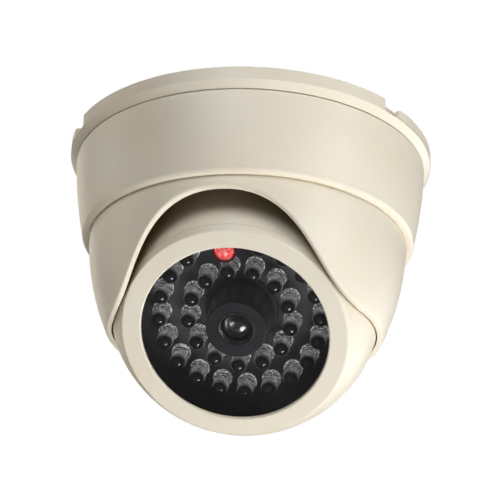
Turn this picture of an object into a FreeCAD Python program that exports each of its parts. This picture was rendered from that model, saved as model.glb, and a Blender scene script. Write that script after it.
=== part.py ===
import FreeCAD, Part
import math
import os

# Ceiling dome camera, battery-powered decoy pattern, with a tilting eyeball behind a
# hooded dome.  Millimetres.  The origin is the centre of the ceiling face: the camera
# hangs towards -Z and looks towards -Y, with its two release tabs on the X axis.

Vec = FreeCAD.Vector
ORIGIN = Vec(0, 0, 0)
X_AXIS = Vec(1, 0, 0)
Z_AXIS = Vec(0, 0, 1)
FULL_TURN = 360.0

# ---- driving dimensions -------------------------------------------------------------
rim_radius = 55.0              # base rim, the widest part
plate_thickness = 2.0          # ceiling plate of the base
wall = 2.0                     # moulded shells

# base rim
rim_wall_inner = 51.9
rim_straight_z = -3.8          # upright part of the rim ends here
rim_bottom_z = -6.0
rim_bottom_radius = 53.1       # after the chamfer
notch_half_deg = 34.5          # gap in the rim around each release tab
screw_circle = 76.0            # pitch circle of the ceiling screws
screw_hole_radius = 2.25
screw_boss_radius = 5.0
screw_boss_z = -3.2
screw_degs = (90, 210, 330)
rib_height = 0.8
rib_half = 0.6
rib_inner = 9.0
rib_outer = 31.0
hub_ring_inner = 8.0

# release tabs
tab_half_deg = 27.0
tab_inner = 53.4
tab_top_z = -0.8
tab_bottom_z = -3.72
tab_arm_bottom_z = -1.9
hook_inner = 48.3
hook_outer = 49.7
hook_tip = 50.6
hook_half_deg = 8.7
hook_ledge_z = -4.35
hook_catch_z = -4.6
hook_bottom_z = -5.3
arm_half = 7.5
arm_slot_half = 7.8
arm_slot_inner_x = 46.1        # leaves room for the hook's corners with the tab pressed
tab_end_round = 1.2

# cover ring, between the base and the hood
cover_top_z = -6.3
cover_top_radius = 53.1
cover_waist = (52.25, -16.5)
cover_low_radius = 50.1
cover_low_z = -29.3
cover_lip_mid = (49.65, -30.5)
cover_lip_end = 48.5
spigot_outer = 51.75
spigot_inner = 50.0
spigot_groove = 50.9
spigot_top_z = -2.4
groove_top_z = -4.1
groove_bottom_z = -5.6
spigot_foot_z = -6.9
ledge_top_z = -28.4
ledge_bottom_z = -30.95
ledge_inner = 46.58
carrier_seat_radius = 48.25    # inside of the cover where the hanging ring sits

# hood, the dome with the arched opening
hood_arc_radius = 75.0         # profile arc of the dome
hood_arc_r = -27.2             # centre of that arc, from the axis
hood_arc_z = -29.0
hood_top_z = -31.1
hood_rim_z = -60.4
hood_mid_z = -46.0             # a height between, for the profile arcs
hood_shoulder_z = -33.4        # inside, where the dome meets the neck
neck_foot_z = -31.9
neck_outer = 46.5
neck_inner = 44.0
neck_top_z = -27.8
pivot_boss_radius = 5.0
pivot_boss_x = (40.2, 43.2)
hanger_thickness = 1.5
hanger_screw_circle = 45.25    # radius where the screws into the neck sit
hanger_screw_degs = (15, 165, 240, 300)
arch_top_z = -34.13            # each side of the arch is one cubic, seen from the front
arch_crown_pull_x = 27.6
arch_side_pull = (24.6, -60.5)
arch_foot = (39.6, -60.8)      # just below the rim
arch_back_y = -8.0             # the opening is cut from here forwards
arch_apex_y = 129.0            # the lip's faces point at this place behind the hood
arch_apex_z = -60.0

# eyeball
eye_z = -48.3                  # height of its centre
eye_radius = 40.8
seat_radius = 41.1             # spherical seat in the hood rim
eye_tilt = 50.0                # the eye looks this far below the horizon at rest
face_d = 23.9                  # flat front face, from the eye centre
face_radius = 33.3
bezel_joint_d = 21.9
window_opening = 27.6
window_radius = 28.8
window_front_d = 22.7
window_back_d = 21.2
gasket_back_d = 20.6
shell_split_d = -7.0
eye_back_d = -13.0
flat_x = 39.6                  # side flats where the eye pivots
shoulder_radius = 2.0          # of the tilt pivot screws
joint_gap = 0.05               # between mating faces
grommet_bore = 1.7

# parts behind the window
board_front_d = 7.0
board_thickness = 1.6
board_radius = 37.2
led_radius = 2.5
led_flange_radius = 2.9
led_flange_height = 1.0
led_height = 8.6
led_seat = 0.1                 # air under each lamp
outer_ring_radius = 24.0
outer_ring_pitches = 20        # two of these places are taken by the indicator
inner_ring_radius = 15.3
inner_ring_count = 13
clocking_deg = 6.5             # the board sits this far round from upright
indicator_ring_radius = 22.9
indicator_deg = 94.0
board_screw_radius = 34.6      # where the board screws sit
board_screw_degs = (30, 150, 270)
shell_screw_radius = 35.6      # where the screws through the rear shell sit
shell_screw_degs = (90, 210, 330)
shell_post_radius = 3.0
barrel_front_d = 20.6
barrel_radius = 9.0
barrel_disc_radius = 11.0
lens_radius = 4.4
lens_bore = 4.55
lens_seat_d = 16.6
clip_inner = 2.6
clip_outer = 3.7
clip_height = 8.6
blinker_front_d = -0.2
blinker_back_d = -1.4
pillar_xs = (-11.5, 11.5)

# power pack
cell_radius = 7.1
cell_length = 50.0
cell_nub = 1.4
cell_pitch = 14.4
carrier_top_z = -19.2
tray_front_y = 5.2
tray_half_length = 28.2
tray_floor = 1.0
tray_wall = 0.8
tray_end_wall = 1.2
tray_top_z = -5.0
tray_screw_xs = (-15, 15)

board_back_d = board_front_d - board_thickness
led_base_d = board_front_d + led_seat
eye_inner_radius = eye_radius - wall


# ---- helpers ------------------------------------------------------------------------
def flat_face(start, *steps):
    """Closed face in the XZ plane. A step is a point (line) or two points (arc)."""
    edges = []
    here = start
    for step in steps + (start,):
        if isinstance(step[0], tuple):
            middle, end = step
            arc = Part.Arc(Vec(here[0], 0, here[1]), Vec(middle[0], 0, middle[1]),
                           Vec(end[0], 0, end[1]))
            edges.append(arc.toShape())
        else:
            end = step
            edges.append(Part.makeLine(Vec(here[0], 0, here[1]), Vec(end[0], 0, end[1])))
        here = end
    return Part.Face(Part.Wire(edges))


def turned(start, *steps, sweep=FULL_TURN, first_deg=0.0):
    """Solid of revolution about Z, from first_deg round by sweep."""
    solid = flat_face(start, *steps).revolve(ORIGIN, Z_AXIS, sweep)
    if first_deg:
        solid.rotate(ORIGIN, Z_AXIS, first_deg)
    return solid


def ring(inner, outer, low, high, sweep=FULL_TURN, first_deg=0.0):
    return turned((inner, low), (outer, low), (outer, high), (inner, high),
                  sweep=sweep, first_deg=first_deg)


def rod(radius, low, high, x=0.0, y=0.0):
    return Part.makeCylinder(radius, high - low, Vec(x, y, low))


def rod_x(radius, low, high, z=0.0):
    return Part.makeCylinder(radius, high - low, Vec(low, 0, z), X_AXIS)


def box(low, high):
    low, high = Vec(*low), Vec(*high)
    size = high - low
    return Part.makeBox(size.x, size.y, size.z, low)


def polar(radius, degrees):
    angle = math.radians(degrees)
    return radius * math.cos(angle), radius * math.sin(angle)


def joined(first, *others):
    return first.fuse(list(others)).removeSplitter()


def mirrored_x(shape):
    return shape.mirror(ORIGIN, X_AXIS)


def in_eye(shape):
    """Move a shape drawn with +Z out of the lens and +X across into its place."""
    shape.rotate(ORIGIN, X_AXIS, 90.0 + eye_tilt)
    shape.translate(Vec(0, 0, eye_z))
    return shape


def sphere_rho(radius, d):
    return math.sqrt(radius ** 2 - d ** 2)


def hood_radius_at(z, arc_radius=hood_arc_radius):
    return hood_arc_r + math.sqrt(arc_radius ** 2 - (z - hood_arc_z) ** 2)


def screw(head_radius, head_height, shank_radius, shank_length):
    """Cross-recessed screw, head down the -Z side of the origin plane and shank up +Z."""
    rim = 0.45 * head_height
    tip = 1.2 * shank_radius
    body = joined(
        rod(head_radius, -rim, 0),
        Part.makeCone(0.7 * head_radius, head_radius, head_height - rim, Vec(0, 0, -head_height)),
        rod(shank_radius, -0.1, shank_length - tip),
        Part.makeCone(shank_radius, 0.3 * shank_radius, tip, Vec(0, 0, shank_length - tip)))
    slot_floor = -0.55 * head_height
    reach, half = 0.6 * head_radius, 0.15 * head_radius
    slots = [box((-reach, -half, -2 * head_height), (reach, half, slot_floor)),
             box((-half, -reach, -2 * head_height), (half, reach, slot_floor))]
    return body.cut(slots)


# ---- base and cover -----------------------------------------------------------------
def base_plate():
    body = turned((0, 0), (rim_radius, 0), (rim_radius, rim_straight_z),
                  (rim_bottom_radius, rim_bottom_z), (rim_wall_inner, rim_bottom_z),
                  (rim_wall_inner, -plate_thickness), (0, -plate_thickness))
    bosses = []
    holes = []
    for degrees in screw_degs:
        x, y = polar(screw_circle / 2, degrees)
        bosses.append(rod(screw_boss_radius, screw_boss_z, -plate_thickness, x, y))
        holes.append(rod(screw_hole_radius, screw_boss_z - 1, 1, x, y))
    rib_z = -plate_thickness - rib_height
    ribs = [ring(hub_ring_inner, hub_ring_inner + 2 * rib_half, rib_z, -plate_thickness)]
    for degrees in range(30, 390, 60):
        rib = box((rib_inner, -rib_half, rib_z), (rib_outer, rib_half, -plate_thickness))
        rib.rotate(ORIGIN, Z_AXIS, degrees)
        ribs.append(rib)
    body = joined(body, *bosses, *ribs)
    notch = ring(rim_wall_inner, rim_radius + 1, rim_straight_z, 1,
                 sweep=2 * notch_half_deg, first_deg=-notch_half_deg)
    arm_slot = box((arm_slot_inner_x, -arm_slot_half, -plate_thickness - 0.5),
                   (rim_wall_inner + 1, arm_slot_half, 1))
    cuts = [notch, arm_slot, mirrored_x(notch), mirrored_x(arm_slot)]
    return body.cut(holes + cuts)


def release_tab(side):
    """Curved press pad on the rim, with an arm to a hook behind the cover's spigot."""
    pad = ring(tab_inner, rim_radius, tab_bottom_z, tab_top_z,
               sweep=2 * tab_half_deg, first_deg=-tab_half_deg)
    upright = [e for e in pad.Edges
               if abs(e.Vertexes[0].Z - e.Vertexes[-1].Z) > 1 and e.Vertexes[0].X > 0
               and math.hypot(e.Vertexes[0].X, e.Vertexes[0].Y) > rim_radius - 0.1]
    pad = pad.makeFillet(tab_end_round, upright)
    arm = box((hook_inner + 0.6, -arm_half, tab_arm_bottom_z),
              (tab_inner + 0.5, arm_half, tab_top_z))
    hook = turned((hook_inner, tab_top_z), (hook_outer, tab_top_z),
                  (hook_outer, hook_ledge_z), (hook_tip, hook_ledge_z),
                  (hook_tip, hook_catch_z), (hook_outer + 0.2, hook_bottom_z),
                  (hook_inner, hook_bottom_z), sweep=2 * hook_half_deg, first_deg=-hook_half_deg)
    tab = joined(pad, arm, hook)
    return tab if side > 0 else mirrored_x(tab)


def cover_ring():
    return turned(
        (cover_top_radius, cover_top_z),
        (cover_waist, (cover_low_radius, cover_low_z)),
        (cover_lip_mid, (cover_lip_end, ledge_bottom_z)),
        (ledge_inner, ledge_bottom_z), (ledge_inner, ledge_top_z),
        (carrier_seat_radius, ledge_top_z),
        ((cover_waist[0] - wall, cover_waist[1]), (cover_top_radius - wall, -8.0)),
        (spigot_inner, spigot_foot_z), (spigot_inner, groove_bottom_z),
        (spigot_groove, groove_bottom_z), (spigot_groove, groove_top_z),
        (spigot_inner, groove_top_z), (spigot_inner, spigot_top_z),
        (spigot_outer, spigot_top_z), (spigot_outer, cover_top_z))


# ---- hood and what turns with it ----------------------------------------------------
def arch_half_outline():
    """Right half of the opening's edge, seen from the front, from the top down."""
    side = Part.BezierCurve()
    side.setPoles([Vec(0, 0, arch_top_z), Vec(arch_crown_pull_x, 0, arch_top_z),
                   Vec(arch_side_pull[0], 0, arch_side_pull[1]),
                   Vec(arch_foot[0], 0, arch_foot[1])])
    return [(point.x, point.z) for point in side.discretize(15)]


def arch_cutter():
    """Shallow cone that opens the dome; it flares forward from a point far behind."""
    half = arch_half_outline()
    front_view = [(-x, z) for x, z in reversed(half[1:])] + half
    apex = Vec(0, arch_apex_y, arch_apex_z)

    def section(plane_y):
        points = []
        for x, z in front_view:
            depth = math.sqrt(hood_radius_at(z) ** 2 - x ** 2)
            along = (arch_apex_y - plane_y) / (arch_apex_y + depth)
            points.append(apex + (Vec(x, -depth, z) - apex) * along)
        edge = Part.BSplineCurve()
        edge.interpolate(points)
        left, right = points[0], points[-1]
        low_left = Vec(left.x, plane_y, -2 * eye_radius)
        low_right = Vec(right.x, plane_y, -2 * eye_radius)
        return Part.Wire([edge.toShape(), Part.makeLine(right, low_right),
                          Part.makeLine(low_right, low_left), Part.makeLine(low_left, left)])

    return Part.makeLoft([section(arch_back_y), section(-rim_radius)], True, True)


def hood_shell():
    inner_arc = hood_arc_radius - wall
    rim_start_z = hood_rim_z + 0.75
    body = turned(
        (neck_inner, neck_top_z), (neck_outer, neck_top_z), (neck_outer, hood_top_z),
        (hood_radius_at(hood_top_z), hood_top_z),
        ((hood_radius_at(hood_mid_z), hood_mid_z), (hood_radius_at(rim_start_z), rim_start_z)),
        ((hood_radius_at(hood_rim_z) - 0.02, hood_rim_z + 0.2),
         (hood_radius_at(hood_rim_z) - 0.7, hood_rim_z)),
        (hood_radius_at(hood_rim_z, inner_arc), hood_rim_z),
        ((hood_radius_at(hood_mid_z, inner_arc), hood_mid_z),
         (hood_radius_at(hood_shoulder_z, inner_arc), hood_shoulder_z)),
        (neck_inner, neck_foot_z))
    body = body.cut(Part.makeSphere(seat_radius, Vec(0, 0, eye_z)))
    body = body.cut(arch_cutter())
    boss = rod_x(pivot_boss_radius, *pivot_boss_x, eye_z)
    pilot = rod_x(1.25, pivot_boss_x[0] - 1, pivot_boss_x[1] + 0.2, eye_z)
    body = joined(body, boss, mirrored_x(boss))
    screw_pilots = [rod(0.8, neck_foot_z - 0.7, neck_top_z + 1, *polar(hanger_screw_circle, degrees))
                    for degrees in hanger_screw_degs]
    return body.cut([pilot, mirrored_x(pilot)] + screw_pilots)


def hood_carrier():
    """Ring that hangs the hood from the cover's ledge, with a rear shelf for the cells."""
    hanger = ring(42.6, carrier_seat_radius - 0.15, neck_top_z, neck_top_z + hanger_thickness)
    back_wall = ring(43.0, 45.2, neck_top_z, carrier_top_z, sweep=110, first_deg=35)
    shelf = rod(45.2, carrier_top_z - 1.8, carrier_top_z)
    shelf = shelf.cut(box((-60, -60, -40), (60, 6.0, 0)))
    shelf = shelf.cut(box((-4.5, 5, -40), (4.5, 9.5, 0)))
    screw_holes = [rod(0.95, -40, 0, *polar(hanger_screw_circle, degrees))
                   for degrees in hanger_screw_degs]
    pilots = [rod(0.9, -40, 0, x, tray_mid_y()) for x in tray_screw_xs]
    return joined(hanger, back_wall, shelf).cut(screw_holes + pilots)


def carrier_screws():
    screws = []
    for degrees in hanger_screw_degs:
        x, y = polar(hanger_screw_circle, degrees)
        one = screw(1.7, 1.1, 0.75, 5.6)
        one.rotate(ORIGIN, X_AXIS, 180)
        one.translate(Vec(x, y, neck_top_z + hanger_thickness))
        screws.append(one)
    return Part.makeCompound(screws)


def slip_ring():
    """Thin friction ring between the hanging ring and the cover's ledge."""
    return ring(ledge_inner + 0.17, carrier_seat_radius - 0.25,
                ledge_top_z + joint_gap, neck_top_z - joint_gap)


def tilt_pivot_screws():
    """Shoulder screws, from inside the eye into the hood's side bosses."""
    shoulder_end = pivot_boss_x[0] - joint_gap
    head = rod_x(3.2, 34.7, 36.3, eye_z)
    shoulder = rod_x(shoulder_radius, 36.2, shoulder_end, eye_z)
    thread = rod_x(1.2, shoulder_end - joint_gap, pivot_boss_x[1], eye_z)
    slot = box((34.0, -0.45, eye_z - 4), (35.3, 0.45, eye_z + 4))
    right = joined(head, shoulder, thread).cut(slot)
    return Part.makeCompound([right, mirrored_x(right)])


def tilt_washers():
    disc = rod_x(4.5, flat_x + joint_gap, pivot_boss_x[0] - joint_gap, eye_z)
    right = disc.cut(rod_x(shoulder_radius + 0.1, 30, 50, eye_z))
    return Part.makeCompound([right, mirrored_x(right)])


# ---- power pack ---------------------------------------------------------------------
def cell_rows():
    """Height, and the two Y places, of the cells' axes."""
    z = carrier_top_z + tray_floor + cell_radius + joint_gap
    first = tray_front_y + tray_wall + cell_radius + 0.1
    return z, (first, first + cell_pitch)


def tray_mid_y():
    return sum(cell_rows()[1]) / 2


def battery_tray():
    z_axis, rows = cell_rows()
    back_y = rows[1] + cell_radius + tray_wall + 0.1
    floor_top = carrier_top_z + tray_floor
    tray = box((-tray_half_length, tray_front_y, carrier_top_z),
               (tray_half_length, back_y, tray_top_z))
    room = box((-tray_half_length + tray_end_wall, tray_front_y + tray_wall, floor_top),
               (tray_half_length - tray_end_wall, back_y - tray_wall, 0))
    low_sides = box((-18, -20, z_axis), (18, 60, 0))
    holes = [rod(0.95, -40, 0, x, tray_mid_y()) for x in tray_screw_xs]
    tray = tray.cut([room, low_sides] + holes)
    rib_z = floor_top + 0.9
    rib = box((-11, tray_mid_y() - 0.5, floor_top - 0.2), (11, tray_mid_y() + 0.5, rib_z))
    return joined(tray, rib)


def tray_screws():
    screws = []
    for x in tray_screw_xs:
        one = screw(1.6, 1.0, 0.8, 2.7)
        one.rotate(ORIGIN, X_AXIS, 180)
        one.translate(Vec(x, tray_mid_y(), carrier_top_z + tray_floor))
        screws.append(one)
    return Part.makeCompound(screws)


def battery_cells():
    """Two size AA cells lying in opposite directions."""
    z_axis, rows = cell_rows()
    cells = []
    for y, direction in zip(rows, (1, -1)):
        can = turned((0, 0), (cell_radius - 0.4, 0), (cell_radius, 0.4),
                     (cell_radius, cell_length - cell_nub - 0.5),
                     (cell_radius - 0.5, cell_length - cell_nub), (2.7, cell_length - cell_nub),
                     (2.7, cell_length - 0.2), (2.5, cell_length), (0, cell_length))
        can.rotate(ORIGIN, Vec(0, 1, 0), 90)
        can.translate(Vec(-23.45, 0, 0))
        if direction < 0:
            can = mirrored_x(can)
        can.translate(Vec(0, y, z_axis))
        cells.append(can)
    return Part.makeCompound(cells)


def battery_springs():
    """Tapered wire springs on the cells' flat ends."""
    z_axis, rows = cell_rows()
    wire_radius, turns, height = 0.3, 3, 2.34
    wide, narrow = 4.6, 3.4
    steps = 10 * turns
    points = []
    for step in range(steps + 1):
        along = step / steps
        radius = wide + (narrow - wide) * along
        points.append(Vec(*polar(radius, FULL_TURN * turns * along), height * along))
    spiral = Part.BSplineCurve()
    spiral.interpolate(points)
    sides = 8
    corners = []
    for k in range(sides + 1):
        across, up = polar(wire_radius, FULL_TURN * k / sides)
        corners.append(points[0] + Vec(across, 0, up))
    coil = Part.Wire([spiral.toShape()]).makePipeShell([Part.makePolygon(corners)], True, True)
    coil.rotate(ORIGIN, Vec(0, 1, 0), 90)
    coil.translate(Vec(-26.25, 0, z_axis))
    coils = [coil, mirrored_x(coil)]
    for one, y in zip(coils, rows):
        one.translate(Vec(0, y, 0))
    return Part.makeCompound(coils)


def battery_contacts():
    """Spring-side bridge and the two separate plates on the lead side."""
    z_axis, rows = cell_rows()
    inner = tray_half_length - tray_end_wall
    plates = [box((-inner + 0.02, rows[0] - 6, z_axis - 5),
                  (-inner + 0.4, rows[1] + 6, z_axis + 5))]
    for y in rows:
        plates.append(box((inner - 0.4, y - 5, z_axis - 5), (inner - 0.02, y + 5, z_axis + 5)))
    return Part.makeCompound(plates)


def power_leads():
    """Two slack wires from the tray to the back of the eye."""
    wires = []
    back = Vec(0, math.cos(math.radians(eye_tilt)), math.sin(math.radians(eye_tilt)))
    for x in (-0.75, 0.75):
        end = Vec(x, 0, eye_z) + back * (-eye_back_d + 1.15)
        points = [Vec(2.5 * x, tray_front_y - 0.05, carrier_top_z + 3.0),
                  Vec(2.2 * x, tray_front_y - 2.6, carrier_top_z - 2.0),
                  Vec(1.6 * x, tray_front_y + 4.5, carrier_top_z - 9.0),
                  end]
        curve = Part.BSplineCurve()
        curve.interpolate(points, InitialTangent=Vec(0, -1, 0), FinalTangent=back * -1)
        path = Part.Wire([curve.toShape()])
        section = Part.Wire([Part.makeCircle(0.6, points[0], Vec(0, 1, 0))])
        wires.append(path.makePipeShell([section], True, True))
    return Part.makeCompound(wires)


# ---- eyeball ------------------------------------------------------------------------
def side_flats():
    """Everything beyond the two pivot flats."""
    cut = box((flat_x, -60, -60), (70, 60, 60))
    return [cut, mirrored_x(cut)]


def eye_front_shell():
    outer_mid_d = 9.0
    flange_d = 19.4
    body = turned(
        (sphere_rho(eye_radius, shell_split_d), shell_split_d),
        ((sphere_rho(eye_radius, outer_mid_d), outer_mid_d),
         (sphere_rho(eye_radius, bezel_joint_d), bezel_joint_d)),
        (window_radius + 0.3, bezel_joint_d), (window_radius + 0.3, gasket_back_d),
        (window_opening + 0.3, gasket_back_d), (window_opening + 0.3, flange_d),
        (sphere_rho(eye_inner_radius, flange_d), flange_d),
        ((sphere_rho(eye_inner_radius, outer_mid_d), outer_mid_d),
         (sphere_rho(eye_inner_radius, shell_split_d), shell_split_d)))
    pivot_boss = rod_x(5.0, 36.4, flat_x)
    posts = []
    for degrees in board_screw_degs:
        posts.append(rod(2.6, board_front_d, 17.0, *polar(board_screw_radius, degrees)))
    for degrees in shell_screw_degs:
        place = polar(shell_screw_radius, degrees)
        posts.append(rod(shell_post_radius, shell_split_d, 0.0, *place))
    body = joined(body, pivot_boss, mirrored_x(pivot_boss), *posts)
    body = body.common(Part.makeSphere(eye_radius))
    pivot_bore = rod_x(shoulder_radius + joint_gap, 30, 45)
    bores = [pivot_bore, mirrored_x(pivot_bore)]
    for degrees in board_screw_degs:
        bores.append(rod(1.15, 0, 13.0, *polar(board_screw_radius, degrees)))
    for degrees in shell_screw_degs:
        bores.append(rod(1.15, shell_split_d - 1, -1.2, *polar(shell_screw_radius, degrees)))
    return in_eye(body.cut(side_flats() + bores))


def eye_rear_shell():
    floor_d = eye_back_d + 1.8
    top_d = shell_split_d - joint_gap
    mid_d = (floor_d + top_d) / 2
    body = turned(
        (0, eye_back_d), (sphere_rho(eye_radius, eye_back_d) - 0.8, eye_back_d),
        ((sphere_rho(eye_radius, eye_back_d + 0.25) - 0.15, eye_back_d + 0.25),
         (sphere_rho(eye_radius, eye_back_d + 1.0), eye_back_d + 1.0)),
        ((sphere_rho(eye_radius, mid_d), mid_d), (sphere_rho(eye_radius, top_d), top_d)),
        (sphere_rho(eye_inner_radius, top_d), top_d),
        ((sphere_rho(eye_inner_radius, mid_d), mid_d),
         (sphere_rho(eye_inner_radius, floor_d), floor_d)),
        (0, floor_d))
    posts = [rod(shell_post_radius, floor_d - 0.5, top_d, *polar(shell_screw_radius, degrees))
             for degrees in shell_screw_degs]
    body = joined(body, *posts).common(Part.makeSphere(eye_radius))
    bores = [rod(3.2, -20, 0)]
    for degrees in shell_screw_degs:
        x, y = polar(shell_screw_radius, degrees)
        bores.append(rod(2.2, eye_back_d - 1, eye_back_d + 1.2, x, y))
        bores.append(rod(1.25, -20, 0, x, y))
    return in_eye(body.cut(side_flats() + bores))


def eye_shell_screws():
    screws = []
    for degrees in shell_screw_degs:
        x, y = polar(shell_screw_radius, degrees)
        one = screw(2.0, 1.1, 1.1, 9.5)
        one.translate(Vec(x, y, eye_back_d + 1.2))
        screws.append(one)
    return in_eye(Part.makeCompound(screws))


def bezel_ring():
    soft = 0.5
    lip_back_d = window_front_d + joint_gap
    joint_d = bezel_joint_d + joint_gap
    return in_eye(turned(
        (window_opening + 0.35, face_d), (face_radius - soft, face_d),
        ((face_radius - 0.12, face_d - 0.1), (face_radius + 0.12, face_d - 0.45)),
        ((sphere_rho(eye_radius, 22.7), 22.7), (sphere_rho(eye_radius, joint_d), joint_d)),
        (window_radius + 0.3, joint_d), (window_radius + 0.3, lip_back_d),
        (window_opening, lip_back_d), (window_opening, face_d - 0.35)))


def window():
    return in_eye(ring_disc(window_radius, window_back_d + 0.02, window_front_d, 0.2))


def ring_disc(radius, low, high, soft):
    """Disc with its two rim edges broken."""
    return turned((0, low), (radius - soft, low), (radius, low + soft), (radius, high - soft),
                  (radius - soft, high), (0, high))


def window_gasket():
    return in_eye(ring(window_opening + 0.25, window_radius, gasket_back_d + 0.02, window_back_d))


def lead_grommet():
    wall_back_d = eye_back_d - 0.02
    wall_front_d = eye_back_d + 1.82
    return in_eye(turned((grommet_bore, eye_back_d - 1.0), (4.0, eye_back_d - 1.0),
                         (4.4, wall_back_d), (3.15, wall_back_d), (3.15, wall_front_d),
                         (4.2, wall_front_d), (3.9, eye_back_d + 2.7),
                         (grommet_bore, eye_back_d + 2.7)))


# ---- lamps, dummy lens and blinker --------------------------------------------------
def led_board():
    disc = ring_disc(board_radius, board_back_d, board_front_d, 0.15)
    holes = [rod(1.3, 0, 20, *polar(board_screw_radius, degrees))
             for degrees in board_screw_degs]
    return in_eye(disc.cut(holes))


def board_screws():
    screws = []
    for degrees in board_screw_degs:
        x, y = polar(board_screw_radius, degrees)
        one = screw(2.2, 1.2, 1.1, 7.0)
        one.translate(Vec(x, y, board_back_d))
        screws.append(one)
    return in_eye(Part.makeCompound(screws))


def led(base_d):
    """Standard 5 mm domed lamp with its flange on the board side."""
    shoulder = base_d + led_height - led_radius
    return joined(rod(led_flange_radius, base_d, base_d + led_flange_height),
                  rod(led_radius, base_d, shoulder),
                  Part.makeSphere(led_radius, Vec(0, 0, shoulder)))


def outer_places():
    """Angles round the outer ring; the top two places belong to the indicator."""
    pitch = FULL_TURN / outer_ring_pitches
    first = 90.0 + clocking_deg
    return [first + pitch * (k + 0.5) for k in range(1, outer_ring_pitches - 1)]


def inner_places():
    return [90.0 + clocking_deg + FULL_TURN * k / inner_ring_count
            for k in range(inner_ring_count)]


def lamp_group(radius, places):
    lamps = []
    for degrees in places:
        x, y = polar(radius, degrees)
        lamp = led(led_base_d)
        lamp.translate(Vec(x, y, 0))
        lamps.append(lamp)
    return in_eye(Part.makeCompound(lamps))


def solder_joints():
    """Trimmed legs and solder cones on the back of the board, two to a lamp."""
    joints = []
    places = [(outer_ring_radius, degrees) for degrees in outer_places()]
    places += [(inner_ring_radius, degrees) for degrees in inner_places()]
    for radius, degrees in places:
        for offset in (-1.27, 1.27):
            x, y = polar(radius + offset, degrees)
            cone = Part.makeCone(0.35, 0.85, 0.9, Vec(x, y, board_back_d - 0.9))
            leg = rod(0.3, board_back_d - 1.5, board_back_d - 0.5, x, y)
            joints.append(joined(cone, leg))
    return in_eye(Part.makeCompound(joints))


def indicator_place():
    x, y = polar(indicator_ring_radius, indicator_deg)
    return Vec(x, y, 0)


def indicator_led():
    lamp = led(board_front_d + 1.6)
    lamp.translate(indicator_place())
    return in_eye(lamp)


def indicator_holder():
    """Black clip that lifts the flashing lamp above the others."""
    top_d = board_front_d + clip_height
    foot_top_d = led_base_d + 2.6
    foot_inner = clip_inner + 0.35
    soft = 0.3
    clip = turned((clip_inner, foot_top_d), (foot_inner, foot_top_d), (foot_inner, led_base_d),
                  (clip_outer, led_base_d), (clip_outer, top_d - soft),
                  (clip_outer - soft, top_d), (clip_inner + soft, top_d),
                  (clip_inner, top_d - soft))
    clip.translate(indicator_place())
    return in_eye(clip)


def lens_barrel():
    """Turned body on a thin round foot, with a stepped bore for the lens."""
    throat = 3.4
    foot_top_d = led_base_d + 1.3
    soft = 0.3
    return in_eye(turned(
        (throat, led_base_d), (barrel_disc_radius, led_base_d),
        (barrel_disc_radius, foot_top_d - soft), (barrel_disc_radius - soft, foot_top_d),
        (barrel_radius + 0.8, foot_top_d), (barrel_radius, barrel_front_d - 0.5),
        ((barrel_radius - 0.12, barrel_front_d - 0.1), (barrel_radius - 0.5, barrel_front_d)),
        (5.7, barrel_front_d), (lens_bore, barrel_front_d - 1.4), (lens_bore, lens_seat_d),
        (throat, lens_seat_d)))


def lens_element():
    """Plano-convex dummy lens, a spherical cap on a short cylinder."""
    edge_d, top_d = 18.1, 20.0
    rise = top_d - edge_d
    cap_radius = (lens_radius ** 2 + rise ** 2) / (2 * rise)
    cap = Part.makeSphere(cap_radius, Vec(0, 0, top_d - cap_radius))
    return in_eye(cap.common(rod(lens_radius, lens_seat_d + joint_gap, top_d + 1)))


def lens_ring():
    inner = lens_bore + joint_gap
    return in_eye(turned((inner, barrel_front_d - 1.0), (5.2, barrel_front_d - 0.45),
                         (5.45, barrel_front_d + 0.25), (4.9, barrel_front_d + 0.25),
                         (inner, barrel_front_d - 0.2)))


def blinker_board():
    board = box((-14, -10, blinker_back_d), (14, 10, blinker_front_d))
    return in_eye(board.cut([rod(1.1, -5, 5, x, 0) for x in pillar_xs]))


def blinker_parts():
    """Timer chip, capacitor, two resistors and the lead socket."""
    back = blinker_back_d - 0.02
    chip = box((-4.6, -3.2, back - 3.2), (4.6, 3.2, back))
    capacitor = rod(2.5, back - 5.0, back, -4.0, 6.4)
    socket = box((3.0, 4.2, back - 4.5), (8.6, 8.8, back))
    parts = [chip, capacitor, socket]
    for y in (-5.4, -8.2):
        resistor = Part.makeCylinder(0.9, 6.0, Vec(-3.0, y, back - 0.95), X_AXIS)
        parts.append(resistor)
    return in_eye(Part.makeCompound(parts))


def board_pillars():
    pillars = []
    for x in pillar_xs:
        pillar = rod(2.2, blinker_front_d + joint_gap, board_back_d - 1.6, x, 0)
        foot = rod(1.5, board_back_d - 1.8, board_back_d - 0.02, x, 0)
        pillars.append(joined(pillar, foot).cut(rod(0.85, -3, 4, x, 0)))
    return in_eye(Part.makeCompound(pillars))


def pillar_screws():
    screws = []
    for x in pillar_xs:
        one = screw(1.8, 1.1, 0.8, 4.5)
        one.translate(Vec(x, 0, blinker_back_d - 0.02))
        screws.append(one)
    return in_eye(Part.makeCompound(screws))


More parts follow.
